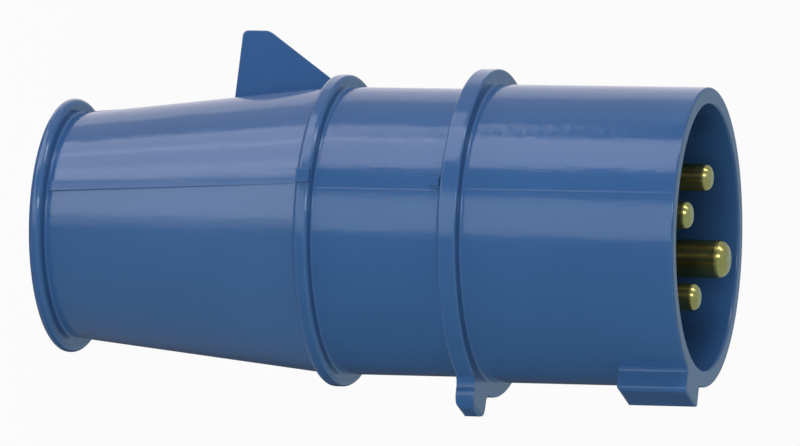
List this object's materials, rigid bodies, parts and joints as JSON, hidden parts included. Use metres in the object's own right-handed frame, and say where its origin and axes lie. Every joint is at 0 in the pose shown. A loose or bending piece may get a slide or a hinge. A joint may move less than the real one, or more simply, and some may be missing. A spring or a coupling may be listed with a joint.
{
  "type": "industrial pin and sleeve plug",
  "caption": "Round industrial power plug: metal pins in a keyed insulating sleeve, with a collar and latch lug, a tapered housing with a fin and a rubber cable entry.",
  "frame": {"origin": "centre of the cable entry, in the plane of the tail flange on which the plug stands", "axes": "+Z along the plug's axis from the cable entry to the mouth, the sleeve's key on -Y, the fin on +Y, the earth pin on +X"},
  "size_m": [0.0592, 0.0722, 0.1219],
  "materials": {
    "shell": "moulded blue polyamide with a soft gloss",
    "carrier": "moulded dark blue plastic",
    "inner_plastic": "moulded dark grey plastic",
    "contact": "turned brass",
    "screw": "zinc plated steel",
    "seal": "black rubber"
  },
  "bodies": {
    "root": {"front_sleeve": "shell", "rear_housing": "shell", "contact_carrier": "carrier", "grip_frame": "inner_plastic", "earth_pin": "contact", "line_pin_1": "contact", "line_pin_2": "contact", "line_pin_3": "contact", "terminal_screw_earth": "screw", "terminal_screw_1": "screw", "terminal_screw_2": "screw", "terminal_screw_3": "screw", "carrier_screw_1": "screw", "carrier_screw_2": "screw", "body_gasket": "seal", "clamp_saddle": "inner_plastic", "clamp_screw_1": "screw", "clamp_screw_2": "screw", "cable_grommet": "seal", "grommet_keeper": "inner_plastic"}
  },
  "joints": []
}
